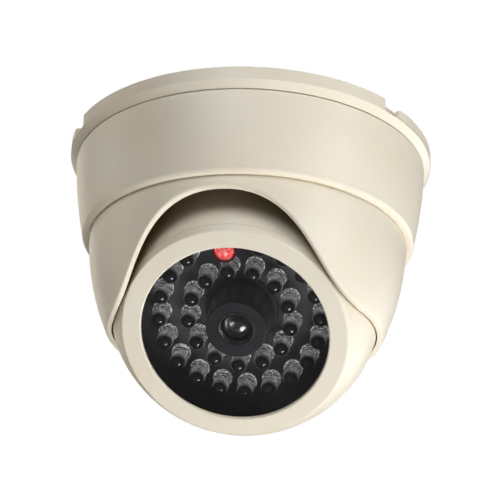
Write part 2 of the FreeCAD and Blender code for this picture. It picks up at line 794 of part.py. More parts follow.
nodes = {
    "base_plate": base_plate,
    "release_tab_left": lambda: release_tab(-1),
    "release_tab_right": lambda: release_tab(1),
    "cover_ring": cover_ring,
    "hood_shell": hood_shell,
    "hood_carrier": hood_carrier,
    "carrier_screws": carrier_screws,
    "slip_ring": slip_ring,
    "tilt_pivot_screws": tilt_pivot_screws,
    "tilt_washers": tilt_washers,
    "battery_tray": battery_tray,
    "tray_screws": tray_screws,
    "battery_cells": battery_cells,
    "battery_springs": battery_springs,
    "battery_contacts": battery_contacts,
    "power_leads": power_leads,
    "eye_front_shell": eye_front_shell,
    "eye_rear_shell": eye_rear_shell,
    "eye_shell_screws": eye_shell_screws,
    "bezel_ring": bezel_ring,
    "window": window,
    "window_gasket": window_gasket,
    "lead_grommet": lead_grommet,
    "led_board": led_board,
    "board_screws": board_screws,
    "outer_leds": lambda: lamp_group(outer_ring_radius, outer_places()),
    "inner_leds": lambda: lamp_group(inner_ring_radius, inner_places()),
    "solder_joints": solder_joints,
    "indicator_led": indicator_led,
    "indicator_holder": indicator_holder,
    "lens_barrel": lens_barrel,
    "lens_element": lens_element,
    "lens_ring": lens_ring,
    "blinker_board": blinker_board,
    "blinker_parts": blinker_parts,
    "board_pillars": board_pillars,
    "pillar_screws": pillar_screws,
}

os.makedirs("parts", exist_ok=True)
for name, build in nodes.items():
    build().exportStep("parts/" + name + ".step")
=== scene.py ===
import math

import bmesh
import bpy
from mathutils import Matrix, Vector


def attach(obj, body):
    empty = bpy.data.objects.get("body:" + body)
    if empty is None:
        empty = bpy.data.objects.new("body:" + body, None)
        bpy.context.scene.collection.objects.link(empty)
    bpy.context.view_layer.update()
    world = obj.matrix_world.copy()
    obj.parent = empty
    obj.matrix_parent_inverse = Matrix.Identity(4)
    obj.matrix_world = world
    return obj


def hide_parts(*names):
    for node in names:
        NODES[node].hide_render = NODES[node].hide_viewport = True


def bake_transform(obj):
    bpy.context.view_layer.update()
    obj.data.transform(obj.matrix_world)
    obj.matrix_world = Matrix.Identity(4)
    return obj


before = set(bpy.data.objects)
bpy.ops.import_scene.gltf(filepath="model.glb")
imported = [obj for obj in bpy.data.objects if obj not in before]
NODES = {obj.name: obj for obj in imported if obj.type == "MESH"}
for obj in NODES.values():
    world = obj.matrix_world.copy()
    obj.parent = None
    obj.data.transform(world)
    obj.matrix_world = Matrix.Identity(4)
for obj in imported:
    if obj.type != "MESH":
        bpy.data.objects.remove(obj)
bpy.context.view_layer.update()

# Ceiling dome camera.  The object hangs from z = 0 towards -Z and looks towards -Y.
# Sizes are in millimetres, as in the CAD source, and become metres through MM.  Only the
# stage at the end is laid out in metres.
MM = 0.001
FULL_TURN = 2 * math.pi

# ---- sizes: the CAD's own, unless a comment says otherwise --------------------------
# The eye's ball.  Heights along its gaze are called depths and start at its centre.
EYE_Z = -48.3
EYE_INNER = 38.8
EYE_BACK = -13.0
EYE_TILT = math.radians(50)
BEZEL_JOINT = 21.9
PIVOT_BOSS_RADIUS = 5.0
PIVOT_BOSS_X = (40.2, 43.2)

# The hood: an arc about (HOOD_ARC_R, HOOD_ARC_Z), turned about the upright axis.
HOOD_ARC = 75.0
HOOD_ARC_R = -27.2
HOOD_ARC_Z = -29.0
HOOD_WALL = 2.0
HOOD_TOP_Z = -30.98                       # 0.12 above the CAD's: a closer seam to the cover
HOOD_RIM_Z = -60.4
HOOD_SHOULDER_Z = -33.4                   # inside, where the dome meets the neck
SEAT_RADIUS = 41.1                        # the ball's seat in the hood
NECK_OUTER = 46.5
NECK_INNER = 44.0
NECK_TOP_Z = -27.8
NECK_FOOT_Z = -31.9

# The arched opening: one cubic from the crown to the foot on each side, as (x, z).
ARCH_TOP_Z = -34.13
ARCH_CROWN_PULL_X = 27.6
ARCH_SIDE_PULL = (24.6, -60.5)
ARCH_FOOT = (39.6, -60.8)
LIP_APEX = Vector((0, 129.0, -60.0))      # the lip's faces point here
LIP_ROUND = 1.0                           # roundings that the CAD's lip doesn't have
LIP_INNER_ROUND = 0.3

# Lamps in two rings round the lens; the outer ring leaves two places to the indicator.
LAMP_BASE = 7.1
LAMP_RADIUS = 2.5
LAMP_FLANGE_RADIUS = 2.9
LAMP_FLANGE = 1.0
LAMP_HEIGHT = 8.6
OUTER_RING = 24.0
OUTER_PLACES = 20
INNER_RING = 15.3
INNER_PLACES = 13
CLOCKING = math.radians(96.5)

# The dummy lens: the CAD's radius and barrel, with a thinner glass over an iris.
LENS_RADIUS = 4.4
LENS_FLOOR = 16.65
LENS_BACK = 17.5
LENS_EDGE = 18.1
LENS_TOP = 20.0
BARREL_FRONT = 20.6

EYE_CENTRE = Vector((0, 0, EYE_Z)) * MM
GAZE = Vector((0, -math.cos(EYE_TILT), -math.sin(EYE_TILT)))


# ---- mesh helpers -------------------------------------------------------------------
def eye_matrix():
    """Local frame of the eye: X across, Y up the face, Z out of the window, in mm."""
    up = Vector((0, -math.sin(EYE_TILT), math.cos(EYE_TILT)))
    turn = Matrix((Vector((1, 0, 0)), up, GAZE)).transposed().to_4x4()
    return Matrix.Translation(EYE_CENTRE) @ turn @ Matrix.Scale(MM, 4)


def finish_piece(name, mesh, material, body, matrix=None):
    """Turns a bmesh into a named smooth object that rides on a body, if one is given."""
    if matrix is not None:
        mesh.transform(matrix)
    bmesh.ops.recalc_face_normals(mesh, faces=mesh.faces)
    data = bpy.data.meshes.new(name)
    mesh.to_mesh(data)
    mesh.free()
    data.shade_smooth()
    piece = bpy.data.objects.new(name, data)
    bpy.context.scene.collection.objects.link(piece)
    data.materials.append(material)
    if body:
        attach(piece, body)
    return piece


def merge(mesh, part):
    """Moves a part's geometry into a larger mesh."""
    data = bpy.data.meshes.new("part")
    part.to_mesh(data)
    part.free()
    mesh.from_mesh(data)
    bpy.data.meshes.remove(data)


def join_rings(mesh, first, second):
    """Quads between two closed rings of vertices."""
    count = len(first)
    for k in range(count):
        after = (k + 1) % count
        mesh.faces.new((first[k], first[after], second[after], second[k]))


def turn_profile(mesh, profile, centre=(0, 0), segments=32):
    """Lathes (radius, height) points about an upright axis; radius 0 closes an end."""
    rings = []
    for radius, height in profile:
        if radius == 0:
            rings.append([mesh.verts.new((centre[0], centre[1], height))])
            continue
        ring = []
        for k in range(segments):
            angle = FULL_TURN * k / segments
            ring.append(mesh.verts.new((centre[0] + radius * math.cos(angle),
                                        centre[1] + radius * math.sin(angle), height)))
        rings.append(ring)
    for low, high in zip(rings, rings[1:]):
        if len(low) == 1:
            for k in range(segments):
                mesh.faces.new((low[0], high[(k + 1) % segments], high[k]))
        elif len(high) == 1:
            for k in range(segments):
                mesh.faces.new((low[k], low[(k + 1) % segments], high[0]))
        else:
            join_rings(mesh, low, high)


def add_box(mesh, low, high):
    """Box between two opposite corners."""
    size = Vector(high) - Vector(low)
    middle = (Vector(high) + Vector(low)) / 2
    matrix = Matrix.Translation(middle) @ Matrix.Diagonal((*size, 1.0))
    bmesh.ops.create_cube(mesh, size=1.0, matrix=matrix)


def sweep(mesh, path, radius, sides=14):
    """Round tube along a list of points, with closed ends."""
    rings = []
    side = Vector((1, 0, 0))
    for k, point in enumerate(path):
        before = path[max(k - 1, 0)]
        after = path[min(k + 1, len(path) - 1)]
        along = (after - before).normalized()
        side = (side - along * side.dot(along)).normalized()
        other = along.cross(side)
        ring = []
        for j in range(sides):
            angle = FULL_TURN * j / sides
            ring.append(mesh.verts.new(
                point + (side * math.cos(angle) + other * math.sin(angle)) * radius))
        rings.append(ring)
    for first, second in zip(rings, rings[1:]):
        join_rings(mesh, first, second)
    mesh.faces.new(rings[0])
    mesh.faces.new(rings[-1])


def bezier(a, b, c, d, steps):
    """Points of a cubic from a to d, pulled towards b and c."""
    points = []
    for k in range(steps + 1):
        t = k / steps
        s = 1 - t
        points.append(a * s ** 3 + b * 3 * s * s * t + c * 3 * s * t * t + d * t ** 3)
    return points


# ---- material helpers ---------------------------------------------------------------
class Shader:
    """A material with short calls for adding nodes."""

    def __init__(self, name):
        self.material = bpy.data.materials.new(name)
        self.material.use_nodes = True
        self.tree = self.material.node_tree
        self.tree.nodes.clear()
        self.place = self.add("ShaderNodeTexCoord").outputs["Object"]

    def add(self, kind, inputs=None, **settings):
        """New node; an input that is a socket is linked and any other value is set."""
        node = self.tree.nodes.new(kind)
        for key, value in settings.items():
            setattr(node, key, value)
        for key, value in (inputs or {}).items():
            if isinstance(value, bpy.types.NodeSocket):
                self.tree.links.new(value, node.inputs[key])
            else:
                node.inputs[key].default_value = value
        return node

    def math(self, operation, first, second=0.0, clamp=False):
        return self.add("ShaderNodeMath", {0: first, 1: second},
                        operation=operation, use_clamp=clamp).outputs[0]

    def noise(self, scale, detail=3.0, place=None):
        return self.add("ShaderNodeTexNoise", {
            "Vector": place or self.place, "Scale": scale, "Detail": detail}).outputs["Fac"]

    def ramp(self, value, low, high, to_low=0.0, to_high=1.0):
        return self.add("ShaderNodeMapRange", {
            "Value": value, "From Min": low, "From Max": high,
            "To Min": to_low, "To Max": to_high}).outputs["Result"]

    def spread(self, noise, low=0.0, high=1.0):
        """Stretches the middle of a noise, where most of it lies, over low to high."""
        return self.ramp(noise, 0.3, 0.7, low, high)

    def mix(self, factor, first, second):
        node = self.add("ShaderNodeMix", data_type="RGBA")
        for socket, value in zip((node.inputs[0], node.inputs[6], node.inputs[7]),
                                 (factor, first, second)):
            if isinstance(value, bpy.types.NodeSocket):
                self.tree.links.new(value, socket)
            else:
                socket.default_value = value
        return node.outputs[2]

    def principled(self, **inputs):
        named = {key.replace("_", " "): value for key, value in inputs.items()}
        return self.add("ShaderNodeBsdfPrincipled", named).outputs[0]

    def blend(self, factor, first, second):
        return self.add("ShaderNodeMixShader", {0: factor, 1: first, 2: second}).outputs[0]

    def bump(self, height, depth_mm, strength=1.0, edge=None):
        """Bumped normal; edge is the radius that softens sharp corners."""
        inputs = {"Height": height, "Distance": depth_mm * MM, "Strength": strength}
        if edge is not None:
            inputs["Normal"] = self.add("ShaderNodeBevel", {"Radius": edge}, samples=4).outputs[0]
        return self.add("ShaderNodeBump", inputs).outputs[0]

    def openness(self, reach_mm):
        """1 on open faces, falling to 0 in deep gaps."""
        return self.add("ShaderNodeAmbientOcclusion", {"Distance": reach_mm * MM},
                        samples=6).outputs["AO"]

    def eye_distance(self):
        """Distance from the eye's centre, in mm."""
        away = self.add("ShaderNodeVectorMath", {0: self.place, 1: EYE_CENTRE},
                        operation="DISTANCE").outputs["Value"]
        return self.math("MULTIPLY", away, 1 / MM)

    def eye_depth(self):
        """Height along the gaze from the eye's centre, in mm."""
        offset = self.add("ShaderNodeVectorMath", {0: self.place, 1: EYE_CENTRE},
                          operation="SUBTRACT").outputs["Vector"]
        depth = self.add("ShaderNodeVectorMath", {0: offset, 1: GAZE},
                         operation="DOT_PRODUCT").outputs["Value"]
        return self.math("MULTIPLY", depth, 1 / MM)

    def by_ray(self, seen, cast):
        """One value for what the camera sees and another for the light cast around."""
        camera_ray = self.add("ShaderNodeLightPath").outputs["Is Camera Ray"]
        return self.ramp(camera_ray, 0.0, 1.0, cast, seen)

    def done(self, surface):
        self.add("ShaderNodeOutputMaterial", {"Surface": surface})
        return self.material


def tone(red, green, blue):
    """Linear colour from 0..255 display values."""
    linear = []
    for value in (red, green, blue):
        value /= 255
        linear.append(value / 12.92 if value <= 0.04045 else ((value + 0.055) / 1.055) ** 2.4)
    return (*linear, 1.0)


def scaled(colour, factor):
    """A darker or lighter colour of the same hue."""
    return (*(channel * factor for channel in colour[:3]), 1.0)


# ---- materials ----------------------------------------------------------------------
IVORY = tone(231, 222, 204)
IVORY_DEEP = tone(229, 218, 198)
# painted shade: the dark brown that the eye's pieces take in deep gaps
IVORY_PAINTED_SHADE = tone(134, 106, 62)
BLACK_PLASTIC = tone(22, 22, 24)
WHITE = (1, 1, 1, 1)


def ivory(name, of_eye=False, dark_inside=False, soft_edge=0.3 * MM):
    """Moulded ivory ABS with a fine spark-eroded grain and softened edges.

    The eye's pieces get a painted brown shade in deep gaps, where little light reaches, and
    keep their seam sharp.  dark_inside blackens the faces inside the ball."""
    s = Shader(name)
    colour = s.mix(s.spread(s.noise(45.0)), IVORY, IVORY_DEEP)
    if of_eye:
        # painted shade: dark brown where ambient occlusion finds a deep gap, such as under the
        # hood's lip
        shut, open_enough = 0.2, 0.46
        painted_shade = s.ramp(s.openness(14.0), shut, open_enough)
        colour = s.mix(painted_shade, IVORY_PAINTED_SHADE, colour)
    grain = s.noise(2600.0, 2.0)
    rough = s.spread(s.noise(400.0), 0.42, 0.52)
    edge = soft_edge
    if of_eye:
        from_seam = s.math("ABSOLUTE", s.math("SUBTRACT", s.eye_depth(), BEZEL_JOINT))
        edge = s.ramp(from_seam, 0.6, 0.9, 0.0, edge)
    surface = s.principled(Base_Color=colour, Roughness=rough, IOR=1.5,
                           Normal=s.bump(grain, 0.012, 0.5, edge))
    if dark_inside:
        inside = s.principled(Base_Color=BLACK_PLASTIC, Roughness=0.5,
                              Normal=s.bump(grain, 0.02, 0.5))
        beyond = s.ramp(s.eye_distance(), EYE_INNER + 0.3, EYE_INNER + 0.5)
        behind = s.ramp(s.eye_depth(), EYE_BACK + 1.3, EYE_BACK + 1.1)
        surface = s.blend(s.math("MAXIMUM", beyond, behind), inside, surface)
    return s.done(surface)


def plastic(name, colour, second, roughness, grain_scale=1800.0, grain_mm=0.02):
    """Plain moulded plastic with mottled tone and a fine grain."""
    s = Shader(name)
    mottled = s.mix(s.ramp(s.noise(220.0), 0.35, 0.65), colour, second)
    rough = s.spread(s.noise(700.0), roughness - 0.05, roughness + 0.06)
    return s.done(s.principled(
        Base_Color=mottled, Roughness=rough,
        Normal=s.bump(s.noise(grain_scale, 2.0), grain_mm, 0.5, 0.15 * MM)))


def metal(name, colour, roughness, brushed=(1.0, 1.0, 1.0)):
    """Bright metal with fine drawn scratches."""
    s = Shader(name)
    stretched = s.add("ShaderNodeMapping", {"Vector": s.place, "Scale": brushed}).outputs[0]
    scratch = s.noise(3000.0, 4.0, stretched)
    worn = s.mix(s.spread(s.noise(500.0)), colour, scaled(colour, 0.8))
    return s.done(s.principled(
        Base_Color=worn, Metallic=1.0, Roughness=s.spread(scratch, roughness, roughness + 0.15),
        Normal=s.bump(scratch, 0.005, 0.4, 0.08 * MM)))


def clear_window():
    """Thin clear acrylic, slightly cloudy, with a faint painted glow: light passes straight
    through it.
    """
    s = Shader("clear_window")
    smear = s.noise(60.0, 4.0)
    fresnel = s.add("ShaderNodeFresnel", {"IOR": 1.3}).outputs[0]
    clear = s.add("ShaderNodeBsdfTransparent", {"Color": (0.96, 0.96, 0.96, 1)}).outputs[0]
    gloss = s.add("ShaderNodeBsdfGlossy", {
        "Color": WHITE, "Roughness": s.spread(smear, 0.02, 0.06)}).outputs[0]
    # painted glow: a faint emission stands in for light scattered in the acrylic
    scatter_glow = s.add("ShaderNodeEmission", {
        "Strength": s.spread(smear, 0.005, 0.011)}).outputs[0]
    clear_and_glow = s.add("ShaderNodeAddShader", {0: clear, 1: scatter_glow}).outputs[0]
    return s.done(s.blend(fresnel, clear_and_glow, gloss))


def clear_epoxy():
    """Cast clear lamp body, by height above its base in mm.

    Painted broken grey glints on the flange and side, a painted lighter grey sleeve and a painted
    dark tip stand in for light bent through the clear body, which also has a painted glow."""
    band_pitch = 1.15
    s = Shader("clear_epoxy")
    height = s.math("SUBTRACT", s.eye_depth(), LAMP_BASE)
    flow = s.noise(520.0, 3.0)
    chips = s.noise(1500.0, 4.0)
    # painted glints: light and dark bands down the side stand in for light refracted by the clear
    # body
    wavy = s.math("ADD", height, s.spread(flow, -0.55, 0.55))
    bands = s.math("SINE", s.math("MULTIPLY", wavy, FULL_TURN / band_pitch))
    painted_glints = s.math("MULTIPLY", s.ramp(bands, -0.1, 1.0, 0.05, 1.1),
                    s.ramp(chips, 0.4, 0.6, 0.35, 1.25))
    # painted sheen: a lighter grey sleeve band below the dome
    sleeve = s.ramp(height, 3.5, 4.3)
    painted_sleeve_sheen = s.math("MULTIPLY", s.spread(flow, 0.26, 0.6),
                     s.ramp(chips, 0.4, 0.6, 0.55, 1.35))
    painted_look = s.mix(sleeve, painted_glints, painted_sleeve_sheen)
    flange = s.math("SUBTRACT", 1.0, s.ramp(height, LAMP_FLANGE - 0.1, LAMP_FLANGE + 0.1))
    painted_look = s.mix(flange, painted_look, s.ramp(chips, 0.42, 0.58, 0.15, 1.2))
    # painted shade: a dark grey shoulder and a near-black tip stand in for the dark board seen
    # through the dome
    shoulder = s.ramp(height, 5.9, 6.9)
    painted_look = s.mix(shoulder, painted_look, (0.12, 0.12, 0.13, 1))
    tip = s.ramp(height, 7.0, 7.4)
    painted_look = s.mix(tip, painted_look, (0.006, 0.006, 0.007, 1))
    # painted glow: the body emits its own painted bands, for light gathered through the clear
    # epoxy
    body = s.principled(Base_Color=painted_look, Roughness=s.spread(s.noise(900.0), 0.05, 0.14),
                        IOR=1.53, Coat_Weight=1.0, Coat_Roughness=0.03,
                        Emission_Color=painted_look, Emission_Strength=0.42)
    clear = s.add("ShaderNodeBsdfTransparent", {"Color": (0.8, 0.81, 0.82, 1)}).outputs[0]
    facing = s.add("ShaderNodeLayerWeight", {"Blend": 0.3}).outputs["Facing"]
    see_through = s.math("MULTIPLY", s.ramp(facing, 0.0, 0.8, 0.3, 0.0),
                         s.ramp(tip, 0.0, 1.0, 1.0, 0.1))
    return s.done(s.blend(see_through, body, clear))


def red_epoxy():
    """The lit indicator: streaked and hot in the middle; it casts a stronger glow around."""
    s = Shader("red_epoxy")
    facing = s.add("ShaderNodeLayerWeight", {"Blend": 0.35}).outputs["Facing"]
    streak = s.noise(950.0, 4.0)
    core = s.mix(s.ramp(streak, 0.4, 0.6), tone(240, 52, 62), tone(255, 176, 170))
    colour = s.mix(s.ramp(facing, 0.25, 0.9), core, tone(225, 60, 66))
    return s.done(s.principled(
        Base_Color=tone(150, 16, 24), Roughness=0.15, Emission_Color=colour,
        Emission_Strength=s.by_ray(seen=0.85, cast=9.0), Coat_Weight=0.5))


def smoked_clip():
    """Dark clip round the indicator, with a painted deep red glow for the lit indicator inside.
    """
    s = Shader("smoked_clip")
    flow = s.noise(700.0, 3.0)
    # painted glow: deep red emission stands in for the indicator's light in the clip
    glow = s.mix(s.ramp(flow, 0.35, 0.65), tone(86, 18, 16), tone(120, 30, 24))
    return s.done(s.principled(
        Base_Color=tone(34, 18, 18), Roughness=s.spread(flow, 0.2, 0.35),
        Emission_Color=glow, Emission_Strength=0.5, Normal=s.bump(flow, 0.02, 0.4, 0.1 * MM)))


def solder_mask(name, colour, sheen):
    """Printed board: coated laminate with faint raised tracks."""
    s = Shader(name)
    tracks = s.add("ShaderNodeTexBrick", {
        "Vector": s.place, "Scale": 260.0, "Mortar Size": 0.03, "Color1": (0, 0, 0, 1),
        "Color2": (0.1, 0.1, 0.1, 1), "Mortar": WHITE}).outputs["Fac"]
    weave = s.noise(1500.0, 2.0)
    shade = s.mix(s.math("MULTIPLY", tracks, 0.6), colour, scaled(colour, 1.35))
    return s.done(s.principled(
        Base_Color=shade, Roughness=s.spread(weave, sheen, sheen + 0.15),
        Normal=s.bump(s.math("ADD", tracks, weave), 0.02, 0.4)))


def cell_sleeve():
    """Plain shrink sleeve: grey, with a blue band towards each end and bare metal ends."""
    s = Shader("cell_sleeve")
    along = s.math("ABSOLUTE", s.add("ShaderNodeSeparateXYZ", {0: s.place}).outputs["X"])
    band = s.ramp(along, 14.5 * MM, 14.8 * MM)
    bare = s.ramp(along, 22.9 * MM, 23.1 * MM)
    scuff = s.noise(300.0, 4.0)
    colour = s.mix(band, tone(176, 180, 184), tone(48, 84, 128))
    colour = s.mix(bare, colour, tone(190, 190, 188))
    return s.done(s.principled(
        Base_Color=colour, Metallic=bare, Roughness=s.spread(scuff, 0.25, 0.42),
        Normal=s.bump(scuff, 0.02, 0.3)))


def lens_coating():
    """Domed glass of the dummy lens: see-through, with soft broad highlights."""
    s = Shader("lens_glass")
    facing = s.add("ShaderNodeLayerWeight", {"Blend": 0.4}).outputs["Facing"]
    tint = s.mix(facing, (0.88, 0.88, 0.87, 1), (0.78, 0.78, 0.78, 1))
    dust = s.noise(1200.0, 3.0)
    clear = s.add("ShaderNodeBsdfTransparent", {"Color": tint}).outputs[0]
    gloss = s.add("ShaderNodeBsdfGlossy", {
        "Color": WHITE, "Roughness": s.ramp(dust, 0.4, 0.8, 0.16, 0.26)}).outputs[0]
    return s.done(s.blend(s.math("ADD", facing, 0.05, clamp=True), clear, gloss))


MATERIALS = {
    "ivory": ivory("ivory_shell"),
    "ivory_hood": ivory("ivory_hood", soft_edge=None),
    "ivory_eye": ivory("ivory_eye_shell", of_eye=True, dark_inside=True),
    "ivory_bezel": ivory("ivory_bezel", of_eye=True),
    "inner": plastic("inner_plastic", tone(204, 198, 182), tone(190, 183, 166), 0.5),
    "black": plastic("black_plastic", tone(50, 51, 54), tone(58, 59, 62), 0.34),
    "gloss_black": plastic("gloss_black", tone(16, 16, 18), tone(22, 22, 24), 0.22),
    "lens_sleeve": metal("lens_sleeve", tone(176, 174, 168), 0.2),
    "iris": metal("iris", tone(150, 151, 152), 0.32),
    "board_black": solder_mask("board_black", tone(86, 85, 83), 0.42),
    "board_green": solder_mask("board_green", tone(24, 78, 44), 0.32),
    "epoxy": clear_epoxy(),
    "red": red_epoxy(),
    "clip": smoked_clip(),
    "window": clear_window(),
    "lens": lens_coating(),
    "rubber": plastic("rubber", tone(34, 34, 35), tone(42, 41, 41), 0.7, 900.0, 0.04),
    "zinc": metal("zinc_steel", tone(196, 198, 196), 0.3, (1, 1, 4)),
    "spring": metal("spring_steel", tone(176, 178, 180), 0.22, (4, 1, 1)),
    "solder": metal("solder", tone(188, 190, 194), 0.35),
    "cells": cell_sleeve(),
    "washer": plastic("washer_nylon", tone(226, 226, 220), tone(214, 213, 206), 0.45),
    "red_lead": plastic("red_lead", tone(176, 26, 24), tone(160, 20, 20), 0.4),
    "black_lead": plastic("black_lead", tone(28, 28, 28), tone(38, 38, 38), 0.4),
}

NODE_FINISH = {
    "ivory": ("base_plate", "cover_ring", "release_tab_left", "release_tab_right",
              "hood_shell"),
    "ivory_eye": ("eye_front_shell", "eye_rear_shell"),
    "ivory_bezel": ("bezel_ring",),
    "inner": ("hood_carrier", "battery_tray"),
    "clip": ("indicator_holder",),
    "black": ("lens_barrel", "lens_ring", "board_pillars", "blinker_parts"),
    "board_black": ("led_board",),
    "board_green": ("blinker_board",),
    "epoxy": ("outer_leds", "inner_leds"),
    "red": ("indicator_led",),
    "window": ("window",),
    "lens": ("lens_element",),
    "rubber": ("window_gasket", "lead_grommet"),
    "zinc": ("carrier_screws", "tilt_pivot_screws", "tray_screws", "eye_shell_screws",
             "board_screws", "pillar_screws"),
    "spring": ("battery_springs", "battery_contacts"),
    "solder": ("solder_joints",),
    "cells": ("battery_cells",),
    "washer": ("slip_ring", "tilt_washers"),
    "red_lead": ("power_leads",),
}


def paint_nodes():
    """Gives every CAD node its material."""
    for finish, names in NODE_FINISH.items():
        for name in names:
            data = NODES[name].data
            data.materials.clear()
            data.materials.append(MATERIALS[finish])


# ---- hood ---------------------------------------------------------------------------
def hood_radius(z, arc=HOOD_ARC):
    """Radius of the dome's outer face, or of a face inside it with a smaller arc."""
    return HOOD_ARC_R + math.sqrt(arc ** 2 - (z - HOOD_ARC_Z) ** 2)


def hood_inner_radius(z):
    """Inner face: the thin wall, cut back where the eye's spherical seat is."""
    wall = hood_radius(z, HOOD_ARC - HOOD_WALL)
    seat = math.sqrt(max(SEAT_RADIUS ** 2 - (z - EYE_Z) ** 2, 0.0))
    return max(wall, seat)


def round_axis(radius, angle, z):
    """Point about the upright axis; angle 0 is straight ahead, positive towards +X."""
    return Vector((radius * math.sin(angle), -radius * math.cos(angle), z))


def on_hood(angle, z):
    return round_axis(hood_radius(z), angle, z)


def arch_half_edge():
    """(angle, z) of the opening's edge from its crown to where it meets the rim."""
    poles = [Vector((0, ARCH_TOP_Z)), Vector((ARCH_CROWN_PULL_X, ARCH_TOP_Z)),
             Vector(ARCH_SIDE_PULL), Vector(ARCH_FOOT)]
    steps = 54
    outline = bezier(*poles, steps)
    points = [point for point in outline if point.y > HOOD_RIM_Z]
    above, below = points[-1], outline[len(points)]
    along = (above.y - HOOD_RIM_Z) / (above.y - below.y)
    points.append(above.lerp(below, along))
    return [(math.asin(point.x / hood_radius(point.y)), point.y) for point in points]


def through_wall(edge):
    """Point of the inner face reached from the edge by heading for the lip's apex."""
    stride = (LIP_APEX - edge).normalized() * 0.02
    point = edge.copy()
    while math.hypot(point.x, point.y) > hood_inner_radius(point.z):
        point += stride
    return point


def hood_columns():
    """Angle at the top, angle and z at the lower edge, and lean, all the way round."""
    right = arch_half_edge()
    last_angle, rim_z = right[-1]
    count = len(right) - 1
    corner = through_wall(on_hood(last_angle, rim_z))
    corner_lean = math.atan2(corner.x, -corner.y) - last_angle
    columns = []
    for k, (angle, z) in enumerate(right):
        columns.append((last_angle * k / count, angle, z, None))
    back_steps = 96
    fade_steps = 8
    for k in range(1, back_steps):
        angle = last_angle + (FULL_TURN - 2 * last_angle) * k / back_steps
        near = max(0.0, 1 - k / fade_steps)
        far = max(0.0, 1 - (back_steps - k) / fade_steps)
        columns.append((angle, angle, rim_z, corner_lean * (near ** 2 - far ** 2)))
    for k in range(count, 0, -1):
        angle, z = right[k]
        columns.append((FULL_TURN - last_angle * k / count, FULL_TURN - angle, z, None))
    return columns


def rounded_corner(before, corner, after, steps=5):
    """Points of a round corner, from one leg to the other."""
    points = []
    for k in range(steps + 1):
        t = k / steps
        points.append(before * (1 - t) ** 2 + corner * 2 * t * (1 - t) + after * t ** 2)
    return points


def towards(start, end, length, largest_share=0.45):
    """Point at a length along the way, but no further than a share of it."""
    step = end - start
    return start + step * min(length / step.length, largest_share)


def neck_points(angle):
    """The neck from its bore over the top to the step on which the dome begins."""
    soft = 0.2
    crease = 0.1
    outline = [(NECK_INNER, NECK_FOOT_Z), (NECK_INNER, NECK_TOP_Z - soft),
               (NECK_INNER + soft, NECK_TOP_Z), (NECK_OUTER - soft, NECK_TOP_Z),
               (NECK_OUTER, NECK_TOP_Z - soft), (NECK_OUTER, HOOD_TOP_Z),
               (NECK_OUTER + crease, HOOD_TOP_Z)]
    return [round_axis(radius, angle, z) for radius, z in outline]


def hood_section(top_angle, edge_angle, edge_z, lean):
    """One closed column of the hood wall, from the neck round the lip and back.

    The opening's lip heads for its apex; lean turns the rim's inner points to meet it."""
    def outer_point(t):
        ease = t * t * (3 - 2 * t)
        return on_hood(top_angle + (edge_angle - top_angle) * ease,
                       HOOD_TOP_Z + (edge_z - HOOD_TOP_Z) * t)

    outer_steps = 26
    inner_steps = 16
    edge = outer_point(1.0)
    last = 1.0
    while (outer_point(last) - edge).length < LIP_ROUND:
        last -= 0.002
    column = [outer_point(last * k / outer_steps) for k in range(outer_steps)]

    if lean is None:
        inner = through_wall(edge)
        inner_angle = math.atan2(inner.x, -inner.y)
        if edge_angle > math.pi:
            inner_angle += FULL_TURN
    else:
        inner_angle = edge_angle + lean
        inner = round_axis(hood_inner_radius(edge_z), inner_angle, edge_z)
    inside = []
    for k in range(1, inner_steps + 1):
        t = k / inner_steps
        z = inner.z + (HOOD_SHOULDER_Z - inner.z) * t
        angle = inner_angle + (top_angle - inner_angle) * t
        inside.append(round_axis(hood_inner_radius(z), angle, z))
    column += rounded_corner(outer_point(last), edge, towards(edge, inner, LIP_ROUND))
    column += rounded_corner(towards(inner, edge, LIP_INNER_ROUND), inner,
                             towards(inner, inside[0], LIP_INNER_ROUND), 3)
    return column + inside + neck_points(top_angle)


def pivot_boss(side):
    """Round boss on the hood's inner face that holds one of the eye's pivot screws."""
    face, root = PIVOT_BOSS_X
    soft = 0.2
    boss = bmesh.new()
    turn_profile(boss, [(0, face), (PIVOT_BOSS_RADIUS - soft, face),
                        (PIVOT_BOSS_RADIUS, face + soft), (PIVOT_BOSS_RADIUS, root), (0, root)])
    turn = Matrix.Rotation(side * math.pi / 2, 4, "Y")
    boss.transform(Matrix.Translation((0, 0, EYE_Z)) @ turn)
    return boss


def hood_skin():
    """The dome with its arched opening and rolled lip, with the eye's two side bosses."""
    mesh = bmesh.new()
    rings = []
    for column in hood_columns():
        rings.append([mesh.verts.new(point) for point in hood_section(*column)])
    for k, ring in enumerate(rings):
        join_rings(mesh, ring, rings[(k + 1) % len(rings)])
    for side in (-1, 1):
        merge(mesh, pivot_boss(side))
    piece = finish_piece("hood_skin", mesh, MATERIALS["ivory_hood"], "hood",
                         Matrix.Scale(MM, 4))
    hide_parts("hood_shell")


# ---- lamps --------------------------------------------------------------------------
def outer_places():
    """Angles of the outer lamps; the first and last place are the indicator's."""
    pitch = FULL_TURN / OUTER_PLACES
    return [CLOCKING + pitch * (k + 0.5) for k in range(1, OUTER_PLACES - 1)]


def inner_places():
    """Angles of the inner lamps, all the way round."""
    return [CLOCKING + FULL_TURN * k / INNER_PLACES for k in range(INNER_PLACES)]


